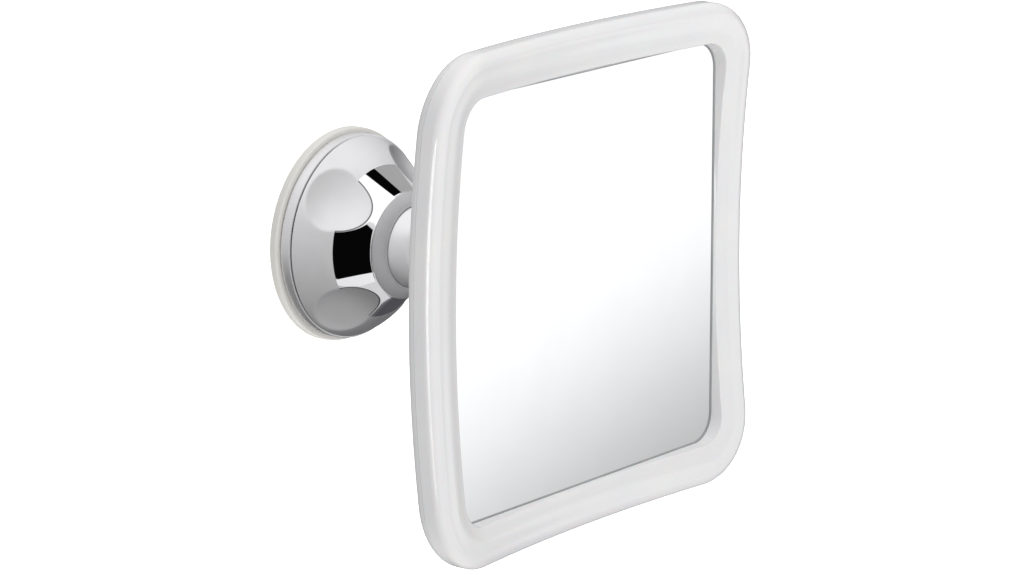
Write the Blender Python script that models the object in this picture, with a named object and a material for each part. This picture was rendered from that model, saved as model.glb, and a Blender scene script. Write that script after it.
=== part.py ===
"""Fogless shower mirror on a twist-lock suction base, one object for each piece.

Everything is modelled in a bench frame that lies on its back: u to the right, v up the
wall and l out from the wall, with the wall itself at l = 0. One empty stands that frame
up, so that l points along -Y and the mirror looks down -Y. The origin is the centre of
the suction disc's flat back. Lengths are in metres.
"""
import math

import bmesh
import bpy
from mathutils import Matrix, Vector

full_turn = math.radians(360.0)
half_turn = math.radians(180.0)
right_angle = math.radians(90.0)
diagonal = math.radians(45.0)

# Clearances between pieces, and how far a cutter runs past what it cuts.
seat_gap = 0.0003
ball_gap = 0.0002
socket_gap = 0.0005
overrun = 0.001
merge_distance = 0.000001

# Mirror head: the pane, its window and the dished frame round it.
reach = 0.124
window_side = 0.161
seal_show = 0.0005
recess_draft = 0.0004
frame_width = 0.0160
corner_radius = 0.0274
side_bow = 0.0005
dish_radius = 0.590
lip_rise = 0.0021
rim_thickness = 0.0138
front_round = 0.0050
back_round = 0.0045
lip_round = 0.0006
crown_rise = 0.0004
bezel_wall = 0.0022
pocket_wall = 0.0016
pocket_depth = 0.0038
pane_lap = 0.0030
pane_thickness = 0.0020
seal_thickness = 0.0005
foam_thickness = 0.0020
foam_margin = 0.0120
foam_corner = 0.020

# Back shell of the head: its wall, its tongue and the ribs on its inside.
shell_wall = 0.0022
tongue_wall = 0.0014
tongue_height = 0.0028
pane_rib_wall = 0.0018
round_rib_radius = 0.030
round_rib_wall = 0.0018
cross_rib_wall = 0.0018

# Screws that close the head, driven from behind at its four corners.
case_post_step = 0.0004
case_boss_height = 0.0034
case_seat_wall = 0.0018
case_shank_radius = 0.00125
case_head_radius = 0.0024
case_head_height = 0.0018
case_grip = 0.0045

# Neck, its flange on the back of the head, and the screws that hold it.
neck_radius = 0.0068
neck_waist = 0.0060
flange_radius = 0.0205
flange_thickness = 0.0050
flange_flare = 0.0070
flange_edge = 0.0008
pad_rise = 0.0012
pad_margin = 0.0010
inner_pad_rise = 0.0008
inner_pad_margin = 0.0055
gasket_thickness = 0.0008
gasket_inset = 0.0010
gasket_width = 0.0045
neck_screw_count = 4
neck_screw_inset = 0.0045
neck_shank_radius = 0.0013
neck_head_radius = 0.0027
neck_head_height = 0.0018
neck_grip = 0.0034

# Ball joint.
ball_radius = 0.0168
pad_shell = 0.0008
cup_shell = 0.0008
pad_half_angle = math.radians(19.5)
cup_half_angle = math.radians(31.0)

# Collar that traps the ball.
collar_rise = 0.0040
collar_face_wall = 0.0008
collar_bevel = 0.0006
collar_skirt_wall = 0.0010

# Hub post: neck, shoulder, skirt and foot.
hub_neck_wall = 0.0010
hub_top_drop = 0.0006
hub_shoulder_drop = 0.0107
hub_shoulder_width = 0.0033
hub_shoulder_depth = 0.0020
hub_skirt_inner = 0.0122
hub_skirt_wall = 0.0030
hub_skirt_rise = 0.0015
hub_floor_wall = 0.0012
hub_floor_clearance = 0.0008
hub_foot_width = 0.0043
hub_foot_thickness = 0.0018
hub_boss_radius = 0.0030
hub_boss_height = 0.0041

# Screws that hold the hub post to the base plate, driven from the wall side.
base_screw_count = 3
base_shank_radius = 0.0012
base_head_radius = 0.0025
base_head_height = 0.0014
base_grip = 0.0028

# Suction disc and the stud moulded into it.
disc_show = 0.0020
disc_thickness = 0.0035
disc_edge_round = 0.0010
disc_boss_wall = 0.0020
disc_boss_height = 0.0021
stud_radius = 0.0045
stud_flange_width = 0.0025
stud_flange_thickness = 0.0014
stud_flange_height = 0.0016
stud_over_pin = 0.0025
stud_bevel = 0.0004

# Base plate and the bright band round it.
base_rim_radius = 0.0399
base_rim_wall = 0.0037
base_rim_height = 0.0037
base_hollow_depth = 0.0025
web_wall = 0.0013
hub_pad_wall = 0.0012
hub_pad_margin = 0.0004
upstand_inset = 0.0021
upstand_wall = 0.0012
upstand_height = 0.0027
trim_wall = 0.0010
trim_lip_thickness = 0.0006
trim_bevel = 0.0003

# Lock knob: the bell that is turned by hand.
knob_rim_gap = 0.0005
knob_rim_wall = 0.0024
knob_rim_bevel = 0.0003
knob_rim_depth = 0.0018
knob_core_rise = 0.0040
knob_crease_step = 0.0085
knob_crease_rise = 0.0127
knob_dome_bulge = 0.0008
knob_neck_wall = 0.0026
knob_neck_drop = 0.0014
knob_neck_sag = 0.0003
knob_top_round = 0.0015
knob_wall = 0.0053
knob_ledge_wall = 0.0018
washer_thickness = 0.0007

# Finger scoops in the bell, each cut by an egg shape sunk in its upper flank.
scoop_count = 4
scoop_first_angle = math.radians(50.8)
scoop_length = 0.0360
scoop_width = 0.0494
scoop_thickness = 0.0200
scoop_depth = 0.0030
scoop_drop = 0.0011
scoop_tilt = math.radians(-1.4)

# Pin through the stud, and the cam ring in the bell that it climbs.
lift_travel = 0.0020
lock_angle = math.radians(90.0)
pin_radius = 0.0012
cam_gap = 0.0005
cam_ramp_floor = 0.0012
cam_ramp_width = 0.0036
cam_wall = 0.0016
cam_crest = math.radians(7.0)
cam_cliff = math.radians(2.0)
cam_web_rise = 0.0036
cam_web_wall = 0.0018

# Facets.
bell_steps = 48
round_steps = 36
hidden_steps = 24
small_steps = 10
pin_steps = 12
ball_rings = 7
cap_rings = 3
arc_steps = 4
socket_arc_steps = 4
corner_steps = 5
side_steps = 5
scoop_segments = 24
scoop_rings = 12
ramp_steps = 8
low_steps = 5
rib_steps = 4
smooth_limit = math.radians(32.0)

# Shares chosen by hand: places along a curve, and rings of the back shell's floor.
dome_shares = (0.25, 0.5, 0.75)
neck_shares = (0.5,)
collar_shares = (0.5,)
crown_share = 0.5
head_round_share = 0.75
floor_ring_shares = (0.4, 0.75)
floor_corner_share = 0.36

# Pieces on these carriers are placed from the ball's centre.
ball_carriers = ("ball_pan_axis", "ball_tilt_axis", "ball_spin_axis")

# Sizes of the head that follow from those above.
window_half = window_side / 2
lip_half = window_half + seal_show + recess_draft
outer_half = lip_half + frame_width
window_inset = frame_width + recess_draft
pane_half = window_half + seal_show + pane_lap
pane_inset = outer_half - pane_half
pocket_inset = pane_inset - seat_gap
pocket_outer_inset = pocket_inset - pocket_wall
pane_back = reach - pane_thickness
ledge_level = reach + seal_thickness + 2 * seat_gap
pocket_level = ledge_level - pocket_depth
foam_half = pane_half - foam_margin
foam_back = pane_back - seat_gap - foam_thickness
rib_level = foam_back - seat_gap
dish_base = reach + lip_rise - lip_half ** 2 / (2 * dish_radius)
split_depth = rim_thickness - back_round
hollow_depth = bezel_wall
tongue_inset = bezel_wall + seat_gap
tongue_inner_inset = tongue_inset + tongue_wall
floor_depth = rim_thickness - shell_wall
middle_depth = rim_thickness - shell_wall / 2
post_inset = (tongue_inner_inset + pocket_outer_inset) / 2
post_place = outer_half - corner_radius + (corner_radius - post_inset) * math.cos(diagonal)
post_dish = dish_base + post_place ** 2 / dish_radius
case_boss_radius = (pocket_outer_inset - tongue_inner_inset) / 2 - seat_gap
case_post_radius = case_boss_radius - case_post_step
case_boss_top = post_dish - floor_depth + case_boss_height
case_seat = case_boss_top - case_seat_wall
case_post_foot = case_boss_top + seat_gap
case_tip = case_post_foot + case_grip
pad_radius = flange_radius + pad_margin
pad_face = dish_base - rim_thickness - pad_rise
inner_pad_face = dish_base - floor_depth + inner_pad_rise
flange_face = pad_face - gasket_thickness - 2 * seat_gap
flange_back = flange_face - flange_thickness
gasket_outer = flange_radius - gasket_inset
gasket_inner = gasket_outer - gasket_width
neck_screw_circle = gasket_inner - neck_screw_inset
inner_pad_radius = neck_screw_circle + inner_pad_margin

# Radii of the base, from the stud and the ball outwards.
stud_flange_radius = stud_radius + stud_flange_width
disc_boss_radius = stud_flange_radius + disc_boss_wall
hub_floor_hole = stud_radius + hub_floor_clearance
hub_skirt_outer = hub_skirt_inner + hub_skirt_wall
hub_foot_radius = hub_skirt_outer + hub_foot_width
base_screw_circle = (hub_skirt_inner + hub_foot_radius) / 2
hub_pad_radius = hub_foot_radius + hub_pad_margin
cam_inner_radius = hub_pad_radius + cam_gap
pin_half_length = cam_inner_radius + cam_ramp_width
cam_wall_inner = pin_half_length + seat_gap
cam_wall_outer = cam_wall_inner + cam_wall
bore_radius = ball_radius + ball_gap
hub_neck_outer = bore_radius + hub_neck_wall
hub_shoulder_radius = hub_neck_outer + hub_shoulder_width
ledge_bore = hub_neck_outer + seat_gap
collar_skirt_inner = hub_neck_outer + seat_gap
collar_skirt_outer = collar_skirt_inner + collar_skirt_wall
knob_bore = collar_skirt_outer + seat_gap
knob_neck_radius = knob_bore + knob_neck_wall
knob_crease_radius = knob_neck_radius + knob_crease_step
pad_inner_radius = ball_radius + ball_gap
pad_outer_radius = pad_inner_radius + pad_shell
cup_inner_radius = pad_outer_radius + ball_gap
cup_outer_radius = cup_inner_radius + cup_shell
socket_radius = cup_outer_radius + socket_gap
trim_radius = base_rim_radius + seat_gap + trim_wall
disc_radius = trim_radius + disc_show
upstand_outer = base_rim_radius - upstand_inset
trim_lip_inner = upstand_outer + seat_gap
knob_rim_inner = upstand_outer + seat_gap
knob_rim_radius = knob_rim_inner + knob_rim_wall

# Levels of the base, from the wall outwards.
disc_boss_top = disc_thickness + disc_boss_height
base_foot = disc_thickness + seat_gap
web_underside = base_foot + base_hollow_depth
web_top = web_underside + web_wall
boss_room_top = disc_boss_top + lift_travel + seat_gap
hub_pad_top = boss_room_top + hub_pad_wall
hub_foot = hub_pad_top + seat_gap
base_rim_top = base_foot + base_rim_height
upstand_top = base_rim_top + upstand_height
trim_lip_bottom = base_rim_top + seat_gap
trim_top = trim_lip_bottom + trim_lip_thickness
knob_rim = trim_top + knob_rim_gap
cam_floor = web_top + seat_gap
ramp_low = cam_floor + cam_ramp_floor
pin_center = ramp_low + seat_gap + pin_radius
stud_top = pin_center + stud_over_pin
cam_web_bottom = pin_center + cam_web_rise
cam_web_top = cam_web_bottom + cam_web_wall
ball_center = stud_top + lift_travel + seat_gap + cup_outer_radius
hub_floor = ball_center - socket_radius - hub_floor_wall
hub_skirt_top = hub_floor + hub_skirt_rise
hub_shoulder = ball_center - hub_shoulder_drop
hub_top = ball_center - hub_top_drop
washer_bottom = hub_shoulder + seat_gap
ledge_bottom = washer_bottom + washer_thickness + seat_gap
ledge_top = ledge_bottom + knob_ledge_wall
knob_core_height = knob_rim + knob_core_rise
knob_crease_height = knob_rim + knob_crease_rise
knob_neck_height = ball_center - knob_neck_drop
knob_top = knob_neck_height + knob_top_round
collar_skirt_end = ledge_top + seat_gap
collar_shoulder = knob_top + seat_gap
collar_front = ball_center + collar_rise


def clear_scene():
    for item in list(bpy.data.objects):
        bpy.data.objects.remove(item, do_unlink=True)


def carrier(name, parent=None, height=0.0):
    """An empty on a joint's axis, at a height above its parent."""
    empty = bpy.data.objects.new(name, None)
    bpy.context.scene.collection.objects.link(empty)
    empty.parent = parent
    empty.location = (0, 0, height)
    return empty


def look(name, colour, roughness, metallic):
    material = bpy.data.materials.new(name)
    material.use_nodes = True
    shader = material.node_tree.nodes["Principled BSDF"]
    shader.inputs["Base Color"].default_value = (*colour, 1)
    shader.inputs["Roughness"].default_value = roughness
    shader.inputs["Metallic"].default_value = metallic
    return material


def object_of(name, shape):
    """Turn a bmesh into an object with its faces pointing out."""
    bmesh.ops.recalc_face_normals(shape, faces=shape.faces)
    mesh = bpy.data.meshes.new(name)
    shape.to_mesh(mesh)
    shape.free()
    mesh.shade_smooth()
    mesh.set_sharp_from_angle(angle=smooth_limit)
    item = bpy.data.objects.new(name, mesh)
    bpy.context.scene.collection.objects.link(item)
    return item


def piece(name, shape, parent, colour, roughness, metallic=0.0):
    """One piece of the mirror, in bench coordinates, riding on its carrier."""
    item = object_of(name, shape)
    item.parent = parent
    item.location = (0, 0, -ball_center if parent.name in ball_carriers else 0)
    item.data.materials.append(look(name, colour, roughness, metallic))
    return item


def tool_of(name, shape, target):
    """A hidden body that is cut from a piece or joined to it."""
    item = object_of(name, shape)
    item.parent = target.parent
    item.location = target.location
    item.hide_render = True
    item.display_type = "WIRE"
    return item


def shaped_by(target, name, shape, operation):
    modifier = target.modifiers.new(name, "BOOLEAN")
    modifier.operation = operation
    modifier.solver = "EXACT"
    modifier.object = tool_of(name, shape, target)


def turned(profile, steps):
    """A (radius, height) outline turned about the l axis; its ends may lie on the axis."""
    shape = bmesh.new()
    points = [shape.verts.new((radius, 0, height)) for radius, height in profile]
    edges = [shape.edges.new(pair) for pair in zip(points, points[1:])]
    if profile[0][0] > 0:
        edges.append(shape.edges.new((points[-1], points[0])))
    bmesh.ops.spin(
        shape, geom=points + edges, cent=(0, 0, 0), axis=(0, 0, 1),
        angle=full_turn, steps=steps, use_merge=True)
    bmesh.ops.remove_doubles(shape, verts=shape.verts, dist=merge_distance)
    return shape


def moved(shape, place):
    bmesh.ops.translate(shape, verts=shape.verts, vec=place)
    return shape


def gathered(shapes):
    """Several separate bodies in one bmesh."""
    whole = bmesh.new()
    for shape in shapes:
        mesh = bpy.data.meshes.new("gathered")
        shape.to_mesh(mesh)
        shape.free()
        whole.from_mesh(mesh)
        bpy.data.meshes.remove(mesh)
    return whole


def rod(radius, low, high, steps=small_steps):
    return turned([(0, low), (radius, low), (radius, high), (0, high)], steps)


def cross_rod(radius, half_length, height, steps=pin_steps):
    """A rod along u, its axis at a height above the wall."""
    shape = rod(radius, -half_length, half_length, steps)
    bmesh.ops.rotate(
        shape, verts=shape.verts, cent=(0, 0, 0), matrix=Matrix.Rotation(right_angle, 3, "Y"))
    return moved(shape, (0, 0, height))


def on_circle(radius, count, first):
    """Places on a circle about the l axis."""
    angles = [first + full_turn * index / count for index in range(count)]
    return [(radius * math.cos(angle), radius * math.sin(angle), 0) for angle in angles]


def arc(center, radius, start, end, steps):
    """Points of a round stretch of an outline, both ends included."""
    angles = [start + (end - start) * step / steps for step in range(steps + 1)]
    return [(center[0] + radius * math.cos(a), center[1] + radius * math.sin(a)) for a in angles]


def bulged(start, end, bulge, shares):
    """Points between two ends, pushed out to the right of the way from one to the other."""
    across = end[0] - start[0]
    along = end[1] - start[1]
    length = math.hypot(across, along)
    points = []
    for share in shares:
        push = 4 * bulge * share * (1 - share)
        points.append((start[0] + across * share + push * along / length,
                       start[1] + along * share - push * across / length))
    return points


def screw(name, parent, place, head, shank, seat, tip, metal):
    """A pan-head screw whose head and shank meet at its seat; head and shank are sizes."""
    head_radius, head_height = head
    top = seat + math.copysign(head_height, seat - tip)
    profile = [(0, top), (head_radius * head_round_share, top), (head_radius, (seat + top) / 2),
               (head_radius, seat), (shank, seat), (shank, tip), (0, tip)]
    return piece(name, moved(turned(profile, small_steps), place), parent, metal, 0.3, 1.0)


def dish(u, v):
    """Height of the dished face that the whole head follows."""
    return dish_base + (u ** 2 + v ** 2) / (2 * dish_radius)


def outline(half, radius, bow=0.0):
    """A rounded square as (u, v) points, its sides bowed out in the middle."""
    flat = half - radius
    points = []
    for quarter in range(4):
        turn = Matrix.Rotation(quarter * right_angle, 2)
        side = [(half, flat * (2 * step / side_steps - 1)) for step in range(1, side_steps)]
        for point in side + arc((flat, flat), radius, 0, right_angle, corner_steps):
            points.append(turn @ Vector(point))
    return [(u * (1 + bow / half * (1 - (v / half) ** 2)),
             v * (1 + bow / half * (1 - (u / half) ** 2))) for u, v in points]


def rim_outline(inset):
    bow = side_bow * max(0, 1 - inset / window_inset)
    return outline(outer_half - inset, corner_radius - inset, bow)


def dished_ring(inset, depth):
    """A ring inside the head's outline, at a depth behind its dished face."""
    return [(u, v, dish(u, v) - depth) for u, v in rim_outline(inset)]


def level_ring(inset, level):
    return [(u, v, level) for u, v in rim_outline(inset)]


def floor_ring(share, depth):
    half = share * (outer_half - window_inset)
    return [(u, v, dish(u, v) - depth) for u, v in outline(half, half * floor_corner_share)]


def lofted(rings, closed):
    """Faces from each ring to the next; a ring of one point closes an end."""
    shape = bmesh.new()
    loops = [[shape.verts.new(point) for point in ring] for ring in rings]
    pairs = list(zip(loops, loops[1:]))
    if closed:
        pairs.append((loops[-1], loops[0]))
    for near, far in pairs:
        for index in range(max(len(near), len(far))):
            corners = []
            for loop, place in ((near, index - 1), (near, index), (far, index), (far, index - 1)):
                vertex = loop[place % len(loop)]
                if vertex not in corners:
                    corners.append(vertex)
            shape.faces.new(corners)
    return shape


def plate(half, radius, low, high):
    """A flat rounded square between two levels."""
    shape = bmesh.new()
    base = shape.faces.new([shape.verts.new((u, v, low)) for u, v in outline(half, radius)])
    grown = bmesh.ops.extrude_face_region(shape, geom=[base])
    raised = [item for item in grown["geom"] if isinstance(item, bmesh.types.BMVert)]
    bmesh.ops.translate(shape, verts=raised, vec=(0, 0, high - low))
    return shape


def bezel_rings():
    """The moulded frame's section, from its split edge over the front and back inside."""
    rings = [dished_ring(0, split_depth)]
    for inset, rise in arc((front_round, -front_round), front_round,
                           half_turn, right_angle, arc_steps):
        rings.append(dished_ring(inset, -rise))
    rings.append(dished_ring(frame_width * crown_share, -crown_rise))
    rings.append(dished_ring(frame_width - lip_round, 0))
    rings.append(dished_ring(frame_width, lip_round))
    rings.append(level_ring(window_inset, ledge_level))
    rings.append(level_ring(pocket_inset, ledge_level))
    rings.append(level_ring(pocket_inset, pocket_level))
    rings.append(level_ring(pocket_outer_inset, pocket_level))
    rings.append(dished_ring(pocket_outer_inset, hollow_depth))
    rings.append(dished_ring(front_round, hollow_depth))
    rings.append(dished_ring(bezel_wall, front_round))
    rings.append(dished_ring(bezel_wall, split_depth))
    return rings


def corner_places():
    return [(u * post_place, v * post_place, 0) for u in (-1, 1) for v in (-1, 1)]


def make_bezel(parent):
    bezel = piece("frame_bezel", lofted(bezel_rings(), True), parent, (0.86, 0.87, 0.87), 0.18)
    post = case_post_radius
    crown = post_dish - hollow_depth / 2
    posts = [moved(rod(post, case_post_foot, crown), place) for place in corner_places()]
    shaped_by(bezel, "bezel_posts", gathered(posts), "UNION")
    hole = case_shank_radius + seat_gap
    holes = [moved(rod(hole, case_post_foot - overrun, case_tip + seat_gap), place)
             for place in corner_places()]
    shaped_by(bezel, "bezel_post_holes", gathered(holes), "DIFFERENCE")


def shell_rings():
    """The back shell's section, from the middle of its back round the rim to its floor."""
    rings = [[(0, 0, dish_base - rim_thickness)]]
    for share in floor_ring_shares:
        rings.append(floor_ring(share, rim_thickness))
    rings.append(dished_ring(window_inset, rim_thickness))
    for inset, rise in arc((back_round, -split_depth), back_round,
                           3 * right_angle, half_turn, arc_steps):
        rings.append(dished_ring(inset, -rise + (seat_gap if inset < merge_distance else 0)))
    rings.append(dished_ring(tongue_inset, split_depth + seat_gap))
    rings.append(dished_ring(tongue_inset, split_depth - tongue_height))
    rings.append(dished_ring(tongue_inner_inset, split_depth - tongue_height))
    rings.append(dished_ring(tongue_inner_inset, floor_depth - back_round / 2))
    rings.append(dished_ring(back_round + tongue_wall, floor_depth))
    rings.append(dished_ring(pane_inset, floor_depth))
    rings.append(level_ring(pane_inset, pane_back - seat_gap))
    rings.append(level_ring(pane_inset + pane_rib_wall, pane_back - seat_gap))
    rings.append(dished_ring(pane_inset + pane_rib_wall, floor_depth))
    for share in reversed(floor_ring_shares):
        rings.append(floor_ring(share, floor_depth))
    rings.append([(0, 0, dish_base - floor_depth)])
    return rings


def cross_rib(angle):
    """A rib from the round rib to the pane's rib, its foot in the dished wall."""
    start = round_rib_radius - round_rib_wall / 2
    end = outer_half - pane_inset - pane_rib_wall / 2
    outer_shares = [step / rib_steps for step in range(rib_steps + 1)]
    foot = [(start + (end - start) * share) for share in outer_shares]
    points = [(end, rib_level), (start, rib_level)]
    points += [(place, dish(place, 0) - middle_depth) for place in foot]
    shape = bmesh.new()
    side = shape.faces.new([shape.verts.new((u, -cross_rib_wall / 2, l)) for u, l in points])
    grown = bmesh.ops.extrude_face_region(shape, geom=[side])
    across = [item for item in grown["geom"] if isinstance(item, bmesh.types.BMVert)]
    bmesh.ops.translate(shape, verts=across, vec=(0, cross_rib_wall, 0))
    bmesh.ops.rotate(
        shape, verts=shape.verts, cent=(0, 0, 0), matrix=Matrix.Rotation(angle, 3, "Z"))
    bmesh.ops.recalc_face_normals(shape, faces=shape.faces)
    return shape


def make_back_shell(parent):
    shell = piece("back_shell", lofted(shell_rings(), False), parent, (0.84, 0.85, 0.85), 0.22)
    middle = dish_base - middle_depth
    pad = turned([(0, pad_face), (pad_radius, pad_face), (pad_radius, middle),
                  (inner_pad_radius, middle), (inner_pad_radius, inner_pad_face),
                  (0, inner_pad_face)], hidden_steps)
    rib_outer = round_rib_radius
    rib_inner = round_rib_radius - round_rib_wall
    rib_foot = dish(rib_outer, 0) - middle_depth
    rib = turned([(rib_inner, rib_foot), (rib_outer, rib_foot),
                  (rib_outer, rib_level), (rib_inner, rib_level)], hidden_steps)
    boss_foot = post_dish - middle_depth
    bosses = [moved(rod(case_boss_radius, boss_foot, case_boss_top), place)
              for place in corner_places()]
    shaped_by(shell, "shell_pads", gathered([pad, rib] + bosses), "UNION")
    ribs = [cross_rib(quarter * right_angle) for quarter in range(4)]
    shaped_by(shell, "shell_ribs", gathered(ribs), "UNION")
    head_room = case_head_radius + seat_gap
    shank_room = case_shank_radius + seat_gap
    mouth = post_dish - rim_thickness - overrun
    recess = [(0, mouth), (head_room, mouth), (head_room, case_seat), (shank_room, case_seat),
              (shank_room, case_boss_top + overrun), (0, case_boss_top + overrun)]
    holes = [moved(turned(recess, small_steps), place) for place in corner_places()]
    neck_room = neck_shank_radius + seat_gap
    holes += [moved(rod(neck_room, pad_face - overrun, inner_pad_face + overrun), place)
              for place in neck_screw_places()]
    shaped_by(shell, "shell_holes", gathered(holes), "DIFFERENCE")


def neck_screw_places():
    return on_circle(neck_screw_circle, neck_screw_count, diagonal)


def make_pane(parent):
    corner = corner_radius - pane_inset
    piece("mirror_pane", plate(pane_half, corner, pane_back, reach),
          parent, (0.92, 0.93, 0.94), 0.02, 1.0)
    low = reach + seat_gap
    high = low + seal_thickness
    inner = outer_half - window_half
    rings = [level_ring(inner, low), level_ring(inner, high),
             level_ring(pane_inset, high), level_ring(pane_inset, low)]
    piece("pane_seal", lofted(rings, True), parent, (0.32, 0.33, 0.34), 0.6)
    piece("foam_pad", plate(foam_half, foam_corner, foam_back, pane_back - seat_gap),
          parent, (0.75, 0.75, 0.72), 0.9)


def make_head_screws(parent):
    steel = (0.62, 0.62, 0.63)
    case_head = (case_head_radius, case_head_height)
    for index, place in enumerate(corner_places(), 1):
        screw(f"case_screw_{index}", parent, place, case_head, case_shank_radius,
              case_seat - seat_gap, case_tip, steel)
    neck_head = (neck_head_radius, neck_head_height)
    for index, place in enumerate(neck_screw_places(), 1):
        screw(f"neck_screw_{index}", parent, place, neck_head, neck_shank_radius,
              inner_pad_face + seat_gap, flange_face - neck_grip, steel)


def make_neck(parent):
    """The ball, its neck and the flange on the back of the head, in one piece."""
    meet = math.asin(neck_radius / ball_radius)
    profile = arc((0, ball_center), ball_radius, -right_angle, right_angle - meet, ball_rings)
    profile[0] = (0, ball_center - ball_radius)
    flare = arc((neck_waist + flange_flare, flange_back - flange_flare), flange_flare,
                half_turn, right_angle, arc_steps)
    profile += flare
    profile += [(flange_radius - flange_edge, flange_back), (flange_radius, flange_back + flange_edge),
                (flange_radius, flange_face), (0, flange_face)]
    neck = piece("ball_neck", turned(profile, round_steps), parent, (0.70, 0.70, 0.72), 0.25, 1.0)
    hole = neck_shank_radius + seat_gap
    bottom = flange_face - neck_grip - seat_gap
    holes = [moved(rod(hole, bottom, flange_face + overrun), place)
             for place in neck_screw_places()]
    shaped_by(neck, "flange_holes", gathered(holes), "DIFFERENCE")
    low = flange_face + seat_gap
    ring = [(gasket_inner, low), (gasket_outer, low), (gasket_outer, low + gasket_thickness),
            (gasket_inner, low + gasket_thickness)]
    piece("neck_gasket", turned(ring, hidden_steps), parent, (0.06, 0.06, 0.06), 0.7)


def cap_shell(inner, outer, half_angle):
    """Part of a hollow sphere behind the ball, closed at its pole."""
    center = (0, ball_center)
    inside = arc(center, inner, -right_angle, half_angle - right_angle, cap_rings)
    outside = arc(center, outer, half_angle - right_angle, -right_angle, cap_rings)
    inside[0] = (0, ball_center - inner)
    outside[-1] = (0, ball_center - outer)
    return turned(inside + outside, hidden_steps)


def make_friction_pieces(pan, tilt):
    cup = cap_shell(cup_inner_radius, cup_outer_radius, cup_half_angle)
    piece("pressure_cup", cup, pan, (0.55, 0.56, 0.57), 0.35, 1.0)
    pad = cap_shell(pad_inner_radius, pad_outer_radius, pad_half_angle)
    piece("friction_pad", pad, tilt, (0.10, 0.10, 0.11), 0.75)


def make_collar(parent):
    """The ring that screws on the hub post and laps over the ball."""
    rise = collar_front - ball_center
    lip = math.asin(rise / bore_radius)
    socket = arc((0, ball_center), bore_radius, lip, 0, socket_arc_steps)
    face = socket[0][0] + collar_face_wall
    profile = [(collar_skirt_inner, collar_skirt_end), (collar_skirt_outer, collar_skirt_end),
               (collar_skirt_outer, collar_shoulder - collar_bevel),
               (collar_skirt_outer - collar_bevel, collar_shoulder)]
    profile += bulged((collar_skirt_outer - collar_bevel, collar_shoulder), (face, collar_front),
                      collar_bevel, collar_shares)
    profile += [(face, collar_front - collar_bevel / 2), (face - collar_face_wall / 2, collar_front)]
    profile += socket
    profile += [(bore_radius, hub_top + seat_gap), (collar_skirt_inner, hub_top + seat_gap)]
    piece("socket_collar", turned(profile, round_steps), parent, (0.72, 0.73, 0.75), 0.12, 1.0)


def make_hub_post(parent):
    """The fixed post: socket for the ball, shoulder for the knob, skirt and foot."""
    socket_edge = math.asin(bore_radius / socket_radius)
    hole_edge = math.asin(hub_floor_hole / socket_radius)
    socket = arc((0, ball_center), socket_radius, socket_edge - right_angle,
                 hole_edge - right_angle, socket_arc_steps)
    foot_top = hub_foot + hub_foot_thickness
    profile = [(hub_foot_radius, hub_foot), (hub_foot_radius, foot_top),
               (hub_skirt_outer, foot_top), (hub_skirt_outer, hub_skirt_top),
               (hub_shoulder_radius, hub_shoulder - hub_shoulder_depth),
               (hub_shoulder_radius, hub_shoulder), (hub_neck_outer, hub_shoulder),
               (hub_neck_outer, hub_top), (bore_radius, hub_top)]
    profile += socket
    profile += [(hub_floor_hole, hub_floor), (hub_skirt_inner, hub_floor),
                (hub_skirt_inner, hub_foot)]
    hub = piece("hub_post", turned(profile, hidden_steps), parent, (0.78, 0.79, 0.80), 0.4)
    boss_top = foot_top + hub_boss_height - hub_foot_thickness
    places = on_circle(base_screw_circle, base_screw_count, right_angle)
    boss_foot = hub_foot + hub_foot_thickness / 2
    bosses = [moved(rod(hub_boss_radius, boss_foot, boss_top), place) for place in places]
    shaped_by(hub, "hub_bosses", gathered(bosses), "UNION")
    hole = base_shank_radius + seat_gap
    hole_top = hub_foot + base_grip + seat_gap
    holes = [moved(rod(hole, hub_foot - overrun, hole_top), place) for place in places]
    shaped_by(hub, "hub_holes", gathered(holes + [hub_slot()]), "DIFFERENCE")


def hub_slot():
    """A block along u that cuts both slots in which the cross pin rises."""
    half_width = pin_radius + seat_gap
    length = hub_foot_radius + overrun
    low = hub_foot - overrun
    high = pin_center + lift_travel + pin_radius + seat_gap
    size = Matrix.Diagonal((2 * length, 2 * half_width, high - low, 1))
    shape = bmesh.new()
    bmesh.ops.create_cube(shape, size=1, matrix=Matrix.Translation((0, 0, (low + high) / 2)) @ size)
    return shape


def make_base_plate(parent):
    rim_inner = base_rim_radius - base_rim_wall
    room = disc_boss_radius + 2 * seat_gap
    hole = stud_radius + seat_gap
    upstand_inner = upstand_outer - upstand_wall
    profile = [(hole, boss_room_top), (room, boss_room_top),
               (room, web_underside), (rim_inner, web_underside), (rim_inner, base_foot),
               (base_rim_radius, base_foot), (base_rim_radius, base_rim_top),
               (upstand_outer, base_rim_top), (upstand_outer, upstand_top),
               (upstand_inner, upstand_top), (upstand_inner, web_top),
               (hub_pad_radius, web_top), (hub_pad_radius, hub_pad_top), (hole, hub_pad_top)]
    plate_body = piece("base_plate", turned(profile, hidden_steps), parent, (0.80, 0.81, 0.82), 0.4)
    head_room = base_head_radius + seat_gap
    shank_room = base_shank_radius + seat_gap
    seat = web_underside + base_head_height + seat_gap
    recess = [(0, base_foot), (head_room, base_foot), (head_room, seat), (shank_room, seat),
              (shank_room, hub_foot + overrun), (0, hub_foot + overrun)]
    places = on_circle(base_screw_circle, base_screw_count, right_angle)
    holes = [moved(turned(recess, small_steps), place) for place in places]
    shaped_by(plate_body, "base_plate_holes", gathered(holes), "DIFFERENCE")
    for index, place in enumerate(places, 1):
        screw(f"base_screw_{index}", parent, place, (base_head_radius, base_head_height),
              base_shank_radius, seat - seat_gap, hub_foot + base_grip, (0.62, 0.62, 0.63))


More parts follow.
